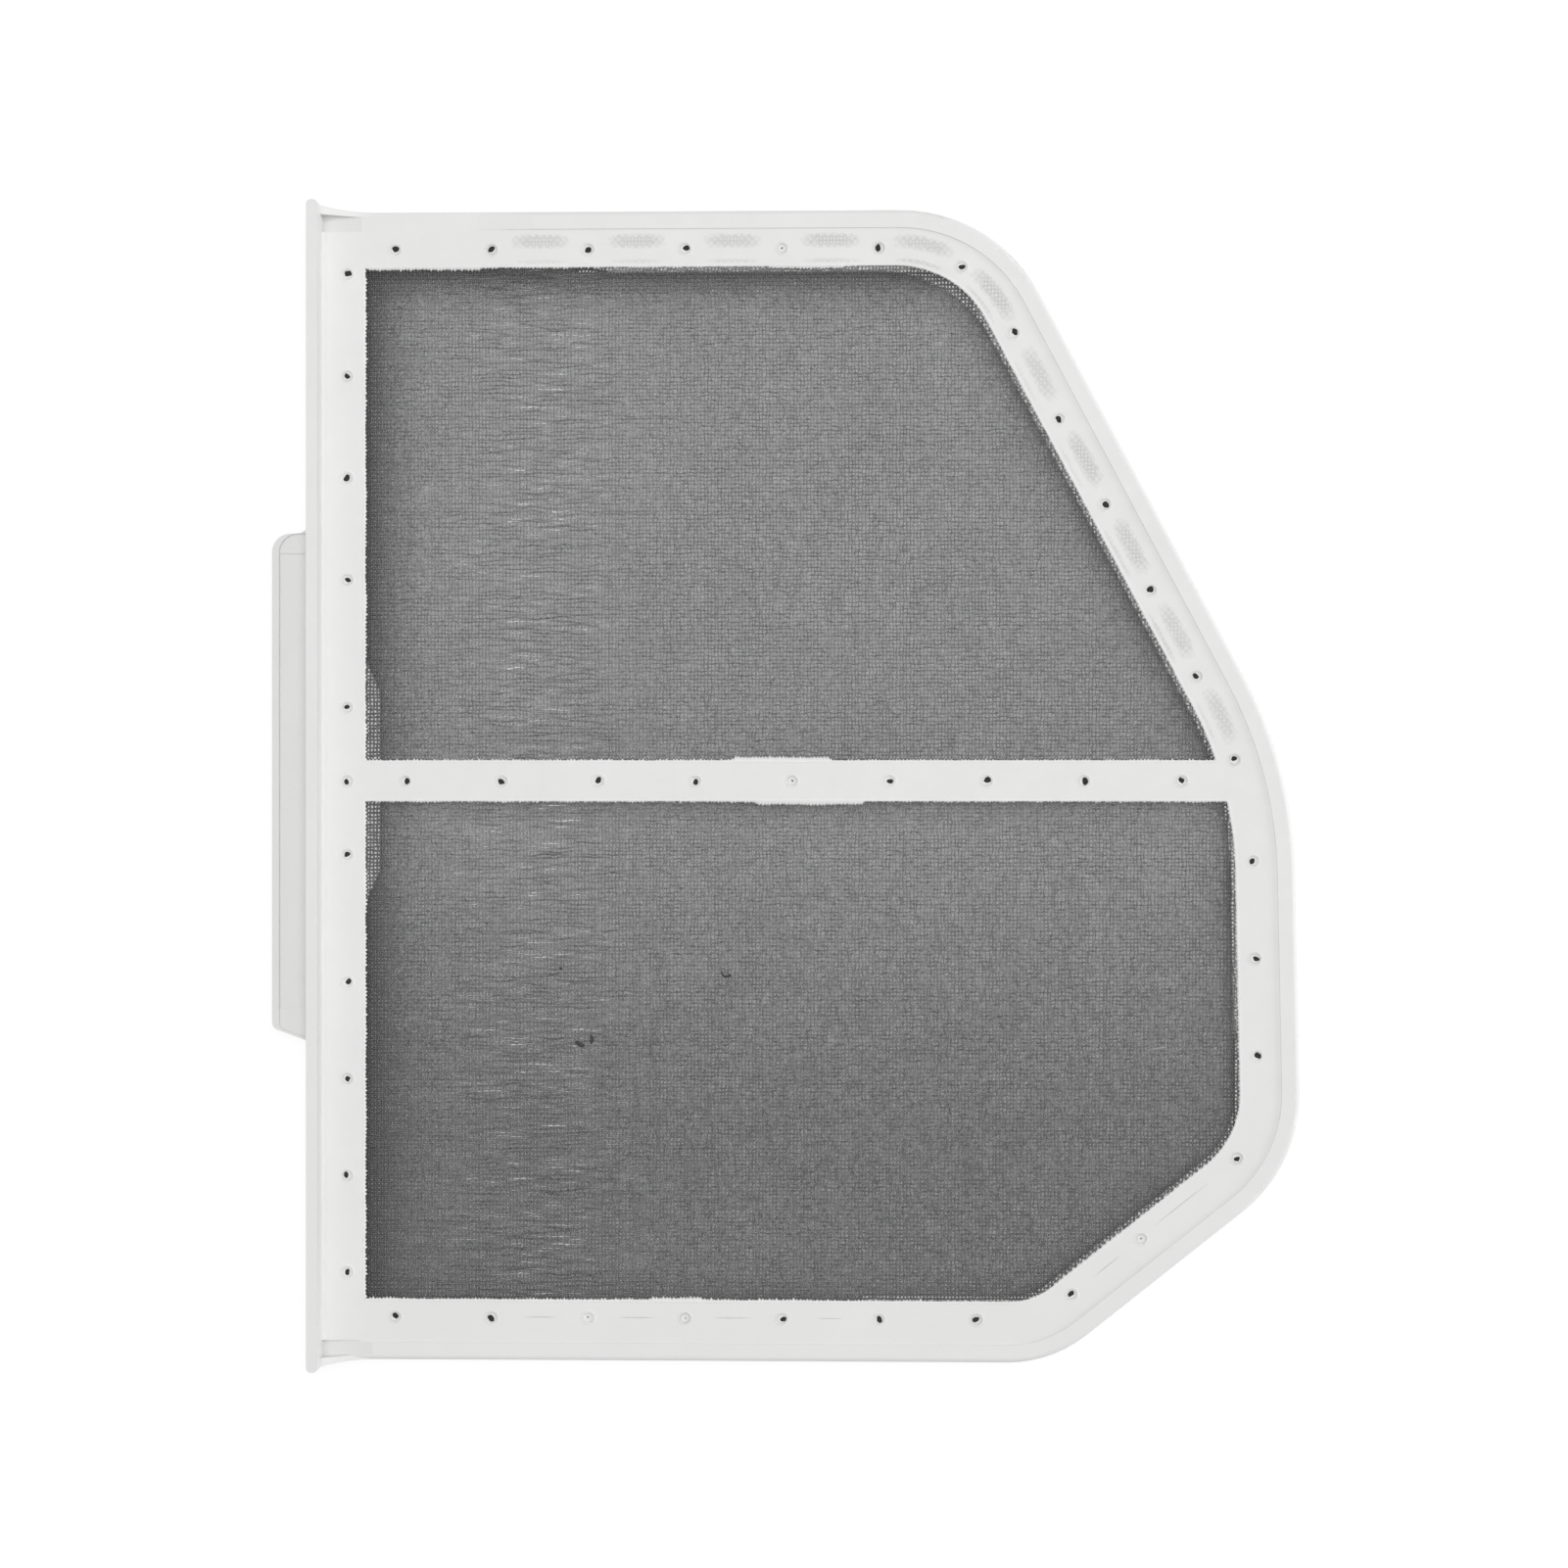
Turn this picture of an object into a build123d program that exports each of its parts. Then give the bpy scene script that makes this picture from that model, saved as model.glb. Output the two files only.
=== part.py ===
from build123d import *
import os

os.makedirs("parts", exist_ok=True)

# A tumble dryer lint filter: a white frame moulded round one sheet of woven screen.
# It lies on its rear face with the screen face up. While it is drawn, x runs from the cap's
# inner face towards the far end of the screen, and y is measured from the middle of the cap.

# Frame outline: sharp corners first, then the radius that rounds each of them
frame_length = 291.8      # bottom rail to top rail, along y
frame_width = 248.2       # cap to the hip, the corner between the side and the lower diagonal
hip_drop = 95.8           # depth of the hip below the middle
side_step = 2.0           # how far the corner between the slant and the side stays short of the hip
side_rise = 4.5           # height of that corner above the middle
shoulder_step = 77.2      # how far the corner between the top rail and the slant stays short of the hip
toe_step = 62.8           # how far the corner between the diagonal and the bottom rail stays short of it
shoulder_radius = 40.0
side_radius = 110.0
hip_radius = 38.0
toe_radius = 32.0
front_round = 1.2         # rounding of the outer front edge

# Rails round the two windows
frame_thick = 6.0         # rear face to the top of the rim
top_rail = 14.1
bottom_rail = 15.4
side_rail = 15.0          # slant, side and lower diagonal
stile_width = 11.0        # cap to the windows
bar_width = 10.3
bar_rise = 1.3            # middle of the crossbar above the middle of the cap
rim_width = 4.5           # raised border along the outer edge
rim_rise = 0.4            # rim above the inner face
rim_flush = 40.0          # cap to where the top rail's rim starts to rise out of the face
rim_ramp = 14.0           # length over which it rises

# Ledge behind the screen, wider than the front skin along the far side
ledge_width = 1.1
ledge_sweep = 8.0         # extra radius of the ledge at the shoulder, where it is widest
ledge_top_start = 65.0    # cap to the ledge's start behind the top rail
ledge_bottom_start = 137.5
brace_width = 3.5         # web behind the screen where the crossbar meets the stile
brace_length = 62.0
brace_taper = 8.0

# Screen sheet and its seat in the frame
screen_thick = 0.6
skin_thick = 0.7          # plastic over the screen
sheet_margin = 0.5        # rim's inner line to the sheet's edge
sheet_tuck = 7.0          # how far the sheet runs under the stile
gap_width = 3.7
gap_pitch = 6.4
gap_margin = 2.5          # window edge to the ends of the gaps
thread_margin = 1.0       # window edge to the raised threads
thread_rise = 0.2         # threads above the sheet's plain border

# Holes left by the mould pins that held the sheet
pin_line = 4.5            # window edge to the row of holes
pin_pitch = 24.6
pin_diameter = 2.4
pin_clear = 5.0           # least distance from the last hole of a row to the corner after it
rail_pin_start = 18.8     # cap to the first hole of the top and bottom rails
slant_pin_start = 24.6    # shoulder to the slant's first hole
side_pin_start = 20.7     # side corner to the side's first hole
diagonal_pin_start = 37.8  # hip to the diagonal's first hole
diagonal_pin_pitch = 22.5
shoulder_pin_shift = 1.2  # hole in a round corner, from the arc's middle towards the hip
side_pin_shift = -5.8
hip_pin_shift = 5.2
bar_pin_start = 21.4      # cap to the crossbar's first hole
stile_pin_start = 51.2    # crossbar's middle to the stile's first spaced hole
stile_high_pitch = 25.9   # spacing above the crossbar
stile_low_pitch = 24.6    # spacing below it
brace_pin_pitch = 18.7    # three closer holes in front of the brace

# Cap, standing at the end of the frame
cap_length = 296.4
cap_height = 13.0
cap_thick = 2.9
cap_round = 1.2           # rounding of the cap's ends
cap_fillet = 1.2          # hollow corner between the cap and the stile

# Gussets between the cap's ends and the frame
gusset_run = 13.0
gusset_flare = 1.9        # how far the gusset runs out past the rail, at the cap
gusset_thick = 1.4        # at the rail
gusset_root = 2.5         # at the cap
gusset_drop = 4.0         # cap's front edge to the gusset's highest point
pocket_width = 4.9        # rail's outer edge to the pocket's straight side
pocket_depth = 1.5

# Grip lip outside the cap
grip_reach = 10.0
grip_top = 64.3           # flat end, above the middle
grip_bottom = 61.6        # outer corner of the sloped end, below the middle
grip_slope = 3.7          # how much further the sloped end runs where it meets the cap
grip_thick = 3.0
grip_rear = 1.2           # rear face of the frame to the rear of the grip
grip_round = 4.8
grip_small_round = 2.0
grip_fillet = 4.0
bead_width = 1.8
bead_rise = 0.8
panel_depth = 0.4
panel_end = 5.0           # each end of the grip to the sunk panel

half_length = frame_length / 2
side_run = frame_width - side_step
shoulder_run = frame_width - shoulder_step
toe_run = frame_width - toe_step
face_z = frame_thick - rim_rise
screen_top = face_z - skin_thick
screen_rear = screen_top - screen_thick

# Corners run anticlockwise from the bottom of the cap, and each rail starts at its corner
frame_corners = [
    Vector(0, -half_length),
    Vector(toe_run, -half_length),
    Vector(frame_width, -hip_drop),
    Vector(side_run, side_rise),
    Vector(shoulder_run, half_length),
    Vector(0, half_length),
]
corner_radii = [0, toe_radius, hip_radius, side_radius, shoulder_radius, 0]
ledge_radii = [0, toe_radius, hip_radius, side_radius, shoulder_radius + ledge_sweep, 0]
rails = [bottom_rail, side_rail, side_rail, side_rail, top_rail, stile_width]


# Where the outline's corners go when each edge moves inwards by its own inset
def inset_corners(insets):
    moved = []
    for index, corner in enumerate(frame_corners):
        following = frame_corners[(index + 1) % len(frame_corners)]
        arriving = (corner - frame_corners[index - 1]).normalized()
        leaving = (following - corner).normalized()
        turn = arriving.cross(leaving).Z
        moved.append(corner + (leaving * insets[index - 1] - arriving * insets[index]) / turn)
    return moved


# The outline as a face, inset edge by edge, with its round corners kept concentric
def outline(insets, radii=corner_radii):
    corners = inset_corners(insets)
    face = Sketch() + make_face(Polyline(*corners, close=True))
    for index, radius in enumerate(radii):
        if radius > 0:
            inset = (insets[index - 1] + insets[index]) / 2
            corner = face.vertices().sort_by_distance(corners[index])[0]
            face = fillet(corner, radius - inset)
    return face


# The window outline without the crossbar; a margin moves every edge inwards
def windows(margin):
    bar = Pos(frame_width / 2, bar_rise) * Rectangle(2 * frame_width, bar_width + 2 * margin)
    return outline([rail + margin for rail in rails]) - bar


# Everything between two heights that has the given plan
def slab(plan, low, high):
    return Pos(0, 0, low) * extrude(plan, high - low)


# A shape and its mirror image at the other end of the cap
def both_ends(shape):
    return shape + mirror(shape, Plane.XZ)


# Frame plate with its outer front edge rounded; it runs halfway into the cap
def frame_plate():
    plate = extrude(outline([0, 0, 0, 0, 0, -cap_thick / 2]), frame_thick)
    front = plate.edges().group_by(Axis.Z)[-1].sort_by(Axis.X)[1:]
    return fillet(front, front_round)


# Ledge and brace that show through the screen behind the front skin
def rear_ledge():
    ring = windows(0) - outline([rail + ledge_width for rail in rails], ledge_radii)
    above = Rectangle(frame_width, frame_length, align=(Align.MIN, Align.MIN))
    below = Rectangle(frame_width, frame_length, align=(Align.MIN, Align.MAX))
    far_side = Pos(ledge_top_start, bar_rise) * above + Pos(ledge_bottom_start, bar_rise) * below
    brace = make_face(
        Polyline(
            (0, brace_length / 2),
            (0, -brace_length / 2),
            (brace_width, brace_taper - brace_length / 2),
            (brace_width, brace_length / 2 - brace_taper),
            close=True,
        )
    )
    return (ring & far_side) + Pos(stile_width, bar_rise) * brace


# Evenly spaced places along a straight run, from a first distance almost to the run's end
def spaced(start, end, first, pitch):
    along = (end - start).normalized()
    count = int(((end - start).length - pin_clear - first) / pitch) + 1
    return [start + along * (first + index * pitch) for index in range(count)]


# The place on a round corner's arc that lies a given distance past its middle, going down the far side
def arc_place(arc, shift):
    if (arc @ 0).Y < (arc @ 1).Y:
        shift = -shift
    return arc.position_at(arc.length / 2 + shift, position_mode=PositionMode.LENGTH)


# Places of the mould pin holes: round the rails, down the stile and along the crossbar
def pin_places():
    insets = [rail - pin_line for rail in rails]
    low, toe, hip, side, shoulder, high = inset_corners(insets)
    arcs = outline(insets).edges().filter_by(GeomType.CIRCLE)
    bar_middle = Vector(low.X, bar_rise)
    places = [bar_middle]
    for corner, shift in ((shoulder, shoulder_pin_shift), (side, side_pin_shift), (hip, hip_pin_shift)):
        places.append(arc_place(arcs.sort_by_distance(corner)[0], shift))
    places += spaced(Vector(0, high.Y), shoulder, rail_pin_start, pin_pitch)
    places += spaced(shoulder, side, slant_pin_start, pin_pitch)
    places += spaced(side, hip, side_pin_start, pin_pitch)
    places += spaced(hip, toe, diagonal_pin_start, diagonal_pin_pitch)
    places += spaced(Vector(0, low.Y), toe, rail_pin_start, pin_pitch)
    places += spaced(Vector(0, bar_rise), Vector(side.X, bar_rise), bar_pin_start, pin_pitch)
    for end, pitch in ((low, stile_low_pitch), (high, stile_high_pitch)):
        places.append(bar_middle + (end - bar_middle).normalized() * brace_pin_pitch)
        places += spaced(bar_middle, end, stile_pin_start, pitch)
    return places


# Cap plate, standing on edge with rounded ends
def cap():
    plan = Pos(-cap_thick / 2, 0) * RectangleRounded(cap_thick, cap_length, cap_round)
    return extrude(plan, cap_height)


# Plate of everything that lies over a side view, which is drawn in x and z
def over(side):
    return extrude(Plane.XZ * side, cap_length, both=True)


# Hollow corner between the cap and the stile, from one pocket to the other
def cap_corner():
    length = frame_length - 2 * pocket_width
    edge = RadiusArc((0, face_z + cap_fillet), (cap_fillet, face_z), -cap_fillet)
    corner = Polyline(edge @ 1, (cap_fillet, screen_top), (-cap_thick / 2, screen_top))
    back = Polyline(corner @ 1, (-cap_thick / 2, face_z + cap_fillet), edge @ 0)
    return extrude(Plane.XZ * make_face(Curve() + [edge, corner, back]), length / 2, both=True)


# Cut that brings the top rail's rim down to the face beside the cap, where its step dies out
def rim_fade():
    plan = Pos(-cap_thick / 2, half_length) * Rectangle(
        cap_thick / 2 + rim_flush + rim_ramp, 2 * rim_width, align=(Align.MIN, Align.CENTER)
    )
    ramp = make_face(
        Polyline(
            (-cap_thick / 2, face_z),
            (rim_flush, face_z),
            (rim_flush + rim_ramp, frame_thick),
            (-cap_thick / 2, frame_thick),
            close=True,
        )
    )
    return extrude(plan, cap_height) & over(ramp)


# Curve that leaves the rail smoothly and meets the cap at the flared end
def flare_curve():
    return TangentArc((gusset_run, half_length), (-cap_thick / 2, half_length + gusset_flare), tangent=(-1, 0))


# Inner side of the gusset, which thickens evenly from the rail to the cap
def gusset_side():
    return Line(
        (-cap_thick / 2, half_length + gusset_flare - gusset_root),
        (gusset_run, half_length - gusset_thick),
    )


# Gusset at the top end of the cap: a flared rib that falls from the cap to the rim
def gusset():
    outer = flare_curve()
    inner = gusset_side()
    plan = make_face(Curve() + [outer, Line(outer @ 1, inner @ 0), inner, Line(inner @ 1, outer @ 0)])
    peak = cap_height - gusset_drop
    crest = TangentArc((gusset_run, face_z), (-cap_thick / 2, peak), tangent=(-1, 0))
    foot = Polyline(crest @ 1, (-cap_thick / 2, 0), (gusset_run, 0), crest @ 0)
    return extrude(plan, cap_height) & over(make_face(Curve() + [crest, foot]))


# Sunk corner between the gusset and the stile, deepest at the cap
def pocket():
    inner = gusset_side()
    low = half_length - pocket_width
    plan = make_face(Polyline(inner @ 0, (-cap_thick / 2, low), (gusset_run, low), inner @ 1, close=True))
    ramp = make_face(
        Polyline(
            (0, face_z - pocket_depth),
            (gusset_run, frame_thick),
            (gusset_run, cap_height),
            (0, cap_height),
            close=True,
        )
    )
    return extrude(plan, cap_height) & over(ramp)


# Plan of the grip: square to the cap at its top end, sloped at its bottom end
def grip_plan():
    inner = -cap_thick / 2
    outer = -cap_thick - grip_reach
    root = grip_bottom + grip_slope
    top_root = (-cap_thick, grip_top)
    top_tip = (outer, grip_top)
    low_tip = (outer, -grip_bottom)
    low_root = (-cap_thick, -root)
    plan = make_face(
        Polyline(
            (inner, grip_top + 2 * grip_fillet),
            (-cap_thick, grip_top + 2 * grip_fillet),
            top_root,
            top_tip,
            low_tip,
            low_root,
            (-cap_thick, -root - 2 * grip_fillet),
            (inner, -root - 2 * grip_fillet),
            close=True,
        )
    )
    radii = [grip_fillet, grip_round, grip_small_round, grip_small_round]
    for place, radius in zip([top_root, top_tip, low_tip, low_root], radii):
        corner = plan.vertices().sort_by_distance(place)[0]
        plan = fillet(corner, radius)
    return plan


# Grip lip with a bead along its outer edge and a shallow sunk panel
def grip():
    plan = grip_plan()
    front = grip_rear + grip_thick
    lip = slab(plan, grip_rear, front)
    bead = slab(plan - Pos(bead_width, 0) * plan, grip_rear, front + bead_rise)
    panel_length = grip_top + grip_bottom - 2 * panel_end
    panel_place = Pos(-cap_thick, (grip_top - grip_bottom) / 2)
    panel = panel_place * Rectangle(grip_reach - bead_width, panel_length, align=(Align.MAX, Align.CENTER))
    return lip - slab(panel, front - panel_depth, front) + bead


# Plan of the screen sheet, tucked under the rails up to the rim
def sheet_plan():
    border = rim_width + sheet_margin
    return outline([border, border, border, border, border, stile_width - sheet_tuck])


# Gaps between the threads that cross one window
def gaps(window):
    box = window.bounding_box()
    count = int((box.size.X - gap_width) / gap_pitch) + 1
    first = box.center().X - (count - 1) * gap_pitch / 2
    gap = Rectangle(gap_width, frame_length)
    places = [Pos(first + index * gap_pitch, box.center().Y) for index in range(count)]
    return Sketch() + [place * gap for place in places] & window


# Screen sheet: a thin wall with its threads raised as ribs between rows of gaps
def screen():
    thread_top = screen_top + thread_rise
    sheet = slab(sheet_plan(), screen_rear, screen_top)
    sheet += slab(windows(thread_margin), screen_top, thread_top)
    for window in windows(gap_margin).faces():
        sheet -= slab(gaps(window), screen_rear, thread_top)
    return sheet


# Whole frame: plate, windows and ledge, seat for the sheet, then cap, gussets and grip
def frame():
    body = frame_plate()
    body -= slab(outline([rim_width, rim_width, rim_width, rim_width, rim_width, 0]), face_z, frame_thick)
    body -= slab(windows(0), screen_top, frame_thick)
    body -= slab(windows(0) - rear_ledge(), 0, screen_rear)
    body -= slab(sheet_plan(), screen_rear, screen_top)
    body -= rim_fade()
    body -= both_ends(pocket())
    pins = Sketch() + [Pos(place) * Circle(pin_diameter / 2) for place in pin_places()]
    body -= slab(pins, screen_top, face_z)
    return body + cap() + cap_corner() + both_ends(gusset()) + grip()


whole_frame = frame()
box = whole_frame.bounding_box()
centred = Pos(-box.center().X, -box.center().Y, 0)
export_step(centred * whole_frame, "parts/frame.step")
export_step(centred * screen(), "parts/screen_mesh.step")
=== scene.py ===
import bmesh
import bpy
import math
import random
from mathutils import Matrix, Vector, noise


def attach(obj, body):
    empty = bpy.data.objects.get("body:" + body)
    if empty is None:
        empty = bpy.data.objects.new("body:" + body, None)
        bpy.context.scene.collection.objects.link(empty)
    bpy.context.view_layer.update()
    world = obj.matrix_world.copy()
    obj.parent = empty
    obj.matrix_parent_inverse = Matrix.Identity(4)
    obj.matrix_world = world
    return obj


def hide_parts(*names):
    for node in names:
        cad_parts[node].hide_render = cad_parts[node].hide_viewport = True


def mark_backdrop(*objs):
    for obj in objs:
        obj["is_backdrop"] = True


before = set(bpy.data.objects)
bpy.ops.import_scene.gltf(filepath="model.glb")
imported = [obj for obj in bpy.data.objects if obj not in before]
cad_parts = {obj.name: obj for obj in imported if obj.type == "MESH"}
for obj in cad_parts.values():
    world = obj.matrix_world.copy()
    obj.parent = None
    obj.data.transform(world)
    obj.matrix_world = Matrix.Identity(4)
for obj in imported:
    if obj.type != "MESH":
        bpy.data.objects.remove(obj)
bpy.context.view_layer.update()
scene = bpy.context.scene
mm = 0.001
anyTurn = (0, 6.28)  # radians
print("frame loaded:", ", ".join(sorted(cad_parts)))

# the moulding's own sizes in mm, as the solids have them
plate = {
    "corners": [
        (-117.47, -145.9),
        (67.93, -145.9),
        (130.73, -95.8),
        (128.73, 4.5),
        (53.53, 145.9),
        (-117.47, 145.9),
    ],
    "radii": [0, 32, 38, 110, 40, 0],
    "rails": [15.4, 15.0, 15.0, 15.0, 14.1, 11.0],  # bottom, diagonal, side, slant, top, stile
    "barLow": -3.85,
    "barHigh": 6.45,
    "face": 5.6,
    "screenTop": 4.9,
    "screenRear": 4.3,
    "arcStep": 0.6,  # between points on a round corner
    "arcFewest": 6,
}
barMiddle = (plate["barHigh"] + plate["barLow"]) / 2


def cornerWays(corners, i):  # the directions into and out of a corner
    arriving = (corners[i] - corners[i - 1]).normalized()
    leaving = (corners[(i + 1) % len(corners)] - corners[i]).normalized()
    return arriving, leaving


def insetCorners(insets):
    corners = [Vector(c) for c in plate["corners"]]
    moved = []
    for i, corner in enumerate(corners):
        arriving, leaving = cornerWays(corners, i)
        turn = arriving.x * leaving.y - arriving.y * leaving.x
        moved.append(corner + (leaving * insets[i - 1] - arriving * insets[i]) / turn)
    return moved


def insetRadius(insets, i):
    return plate["radii"][i] - (insets[i - 1] + insets[i]) / 2


def roundedLoop(insets):  # anticlockwise points with the round corners in place
    corners = insetCorners(insets)
    points = []
    for i, corner in enumerate(corners):
        if plate["radii"][i] == 0:
            points.append(corner)
            continue
        radius = insetRadius(insets, i)
        arriving, leaving = cornerWays(corners, i)
        angle = arriving.angle(leaving)
        start = corner - arriving * radius * math.tan(angle / 2)
        left = Vector((-arriving.y, arriving.x))
        steps = max(plate["arcFewest"], int(radius * angle / plate["arcStep"]))
        for k in range(steps + 1):
            a = angle * k / steps
            points.append(start + arriving * radius * math.sin(a) + left * radius * (1 - math.cos(a)))
    return points


def clipLoop(points, height, keepAbove):  # the part of a loop on one side of a level line
    kept = []
    for i, p in enumerate(points):
        q = points[(i + 1) % len(points)]
        inP = (p.y >= height) == keepAbove
        inQ = (q.y >= height) == keepAbove
        if inP:
            kept.append(p)
        if inP != inQ:
            kept.append(p.lerp(q, (height - p.y) / (q.y - p.y)))
    return kept


def windowLoop(upper):
    loop = roundedLoop(plate["rails"])
    if upper:
        return clipLoop(loop, plate["barHigh"], True)
    return clipLoop(loop, plate["barLow"], False)


def spanAt(loop, axis, value):  # where a straight thread enters and leaves a loop
    hits = []
    for i, p in enumerate(loop):
        q = loop[(i + 1) % len(loop)]
        if (p[axis] - value) * (q[axis] - value) <= 0 and p[axis] != q[axis]:
            hits.append(p.lerp(q, (value - p[axis]) / (q[axis] - p[axis]))[1 - axis])
    return (min(hits), max(hits)) if len(hits) > 1 else None


def ramp(value, start, end):
    return min(1.0, max(0.0, (value - start) / (end - start)))


# node helpers
def feed(tree, socket, value):  # a link from a node or an output, or else a plain value
    if isinstance(value, bpy.types.Node):
        value = value.outputs[0]
    if isinstance(value, bpy.types.NodeSocket):
        tree.links.new(value, socket)
    else:
        socket.default_value = value


def addNode(tree, kind, place, **values):  # a value sets a property or else feeds the input of that name
    node = tree.nodes.new(kind)
    node.location = place
    for name, value in values.items():
        if hasattr(node, name):
            setattr(node, name, value)
        else:
            feed(tree, node.inputs[name.replace("_", " ")], value)
    return node


def mathNode(tree, operation, place, *values):
    node = addNode(tree, "ShaderNodeMath", place, operation=operation)
    for socket, value in zip(node.inputs, values):
        feed(tree, socket, value)
    return node.outputs[0]


def vectorNode(tree, operation, place, first, second):
    node = addNode(tree, "ShaderNodeVectorMath", place, operation=operation)
    feed(tree, node.inputs[0], first)
    feed(tree, node.inputs["Scale" if operation == "SCALE" else 1], second)
    return node.outputs[0]


def noiseNode(tree, place, spot, **values):
    return addNode(tree, "ShaderNodeTexNoise", place, Vector=spot, **values).outputs


def newMaterial(name):
    material = bpy.data.materials.new(name)
    material.use_nodes = True
    tree = material.node_tree
    tree.nodes.clear()
    output = addNode(tree, "ShaderNodeOutputMaterial", (900, 0))
    skin = addNode(tree, "ShaderNodeBsdfPrincipled", (600, 0))
    tree.links.new(skin.outputs[0], output.inputs["Surface"])
    return material, tree, skin


def groupTree(name, kind, inputs, outputs):
    tree = bpy.data.node_groups.new(name, kind)
    for way, sockets in (("INPUT", inputs), ("OUTPUT", outputs)):
        for label, socket in sockets.items():
            tree.interface.new_socket(label, in_out=way, socket_type="NodeSocket" + socket)
    return tree, addNode(tree, "NodeGroupInput", (-1200, 0)), addNode(tree, "NodeGroupOutput", (1500, 0))


# mesh helpers
def newMesh(name, points, edges=(), faces=()):  # points in mm
    mesh = bpy.data.meshes.new(name)
    mesh.from_pydata([(x * mm, y * mm, z * mm) for x, y, z in points], edges, faces)
    return mesh


def setField(mesh, label, values):
    mesh.attributes.new(label, "FLOAT", "POINT").data.foreach_set("value", values)


def tubeMesh(name, tubes, closed):  # a skin over each tube's rings of points, joined round or capped
    points, faces = [], []
    for rings in tubes:
        start, count, sides = len(points), len(rings), len(rings[0])
        for ring in rings:
            points += ring
        for k in range(count if closed else count - 1):
            a = start + k * sides
            b = start + (k + 1) % count * sides
            for j in range(sides):
                n = (j + 1) % sides
                faces.append((a + j, a + n, b + n, b + j))
        if not closed:
            faces.append(tuple(range(start, start + sides)))
            faces.append(tuple(range(len(points) - sides, len(points))))
    return newMesh(name, points, faces=faces)


def finishMesh(mesh, material):  # faces turned outwards and one material on all of them
    shell = bmesh.new()
    shell.from_mesh(mesh)
    bmesh.ops.recalc_face_normals(shell, faces=shell.faces)
    shell.to_mesh(mesh)
    shell.free()
    mesh.materials.clear()
    mesh.materials.append(material)
    mesh.polygons.foreach_set("use_smooth", [True] * len(mesh.polygons))
    return mesh


def newPiece(name, data):
    piece = bpy.data.objects.new(name, data)
    scene.collection.objects.link(piece)
    return piece


def seat(piece):
    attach(piece, "root")
    return piece


def runTree(piece, tree, values):  # sets the inputs, evaluates once and keeps a plain mesh
    modifier = piece.modifiers.new(tree.name, "NODES")
    modifier.node_group = tree
    for item in tree.interface.items_tree:
        if item.in_out == "INPUT" and item.name in values:
            modifier[item.identifier] = values[item.name]
    ready = piece.evaluated_get(bpy.context.evaluated_depsgraph_get())
    plain = bpy.data.meshes.new_from_object(ready)
    piece.modifiers.remove(modifier)
    piece.data = plain
    piece.data.name = piece.name
    return piece


# moulded plastic: cloudy tone, fine grain and a slightly uneven gloss
surface = {
    "cloud": {"Scale": 55.0, "Detail": 4.0, "Roughness": 0.6},
    "fine": {"Scale": 1500.0, "Detail": 3.0, "Roughness": 0.6},
    "flow": {"Scale": 260.0, "Detail": 2.0, "Roughness": 0.5},
    "fineTone": 0.4,  # share of the fine grain in the tone
    "flowGloss": 0.25,
    "flowRise": 1.5,
    "bump": 0.35,
    "ior": 1.49,
    "specular": 0.35,
}
moulding = {"tone": (0.775, 0.775, 0.770), "cloud": 0.06, "gloss": 0.46}


def mouldedGrain():
    tree, entry, leave = groupTree(
        "mouldedGrain",
        "ShaderNodeTree",
        {"Tone": "Color", "Cloud": "Float", "Gloss": "Float", "Grain": "Float"},
        {"Color": "Color", "Roughness": "Float", "Height": "Float"},
    )
    spot = addNode(tree, "ShaderNodeTexCoord", (-900, -300)).outputs["Object"]
    cloud = noiseNode(tree, (-650, 200), spot, **surface["cloud"])["Fac"]
    fine = noiseNode(tree, (-650, -50), spot, **surface["fine"])["Fac"]
    flow = noiseNode(tree, (-650, -300), spot, **surface["flow"])["Fac"]
    shift = mathNode(tree, "SUBTRACT", (-400, 200), cloud, 0.5)
    speck = mathNode(tree, "SUBTRACT", (-400, 50), fine, 0.5)
    both = mathNode(tree, "MULTIPLY_ADD", (-200, 150), speck, surface["fineTone"], shift)
    gain = mathNode(tree, "MULTIPLY_ADD", (0, 150), both, entry.outputs["Cloud"], 1.0)
    feed(tree, leave.inputs["Color"], vectorNode(tree, "SCALE", (300, 200), entry.outputs["Tone"], gain))
    swing = mathNode(tree, "SUBTRACT", (-400, -150), flow, 0.5)
    sheen = mathNode(tree, "MULTIPLY_ADD", (0, -150), swing, surface["flowGloss"], entry.outputs["Gloss"])
    tree.links.new(sheen, leave.inputs["Roughness"])
    rise = mathNode(tree, "MULTIPLY_ADD", (-200, -300), flow, surface["flowRise"], fine)
    height = mathNode(tree, "MULTIPLY", (0, -300), rise, entry.outputs["Grain"])
    tree.links.new(height, leave.inputs["Height"])
    return tree


grainGroup = mouldedGrain()


def plasticMaterial(name, tone, cloud, gloss, grain=1.0, bumpDepth=0.00004):
    material, tree, skin = newMaterial(name)
    group = addNode(tree, "ShaderNodeGroup", (0, 0), node_tree=grainGroup)
    for label, value in {"Tone": (*tone, 1), "Cloud": cloud, "Gloss": gloss, "Grain": grain}.items():
        group.inputs[label].default_value = value
    bump = addNode(tree, "ShaderNodeBump", (300, -250), Strength=surface["bump"], Distance=bumpDepth)
    tree.links.new(group.outputs["Color"], skin.inputs["Base Color"])
    tree.links.new(group.outputs["Roughness"], skin.inputs["Roughness"])
    tree.links.new(group.outputs["Height"], bump.inputs["Height"])
    tree.links.new(bump.outputs["Normal"], skin.inputs["Normal"])
    skin.inputs["IOR"].default_value = surface["ior"]
    skin.inputs["Specular IOR Level"].default_value = surface["specular"]
    return material


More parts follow.
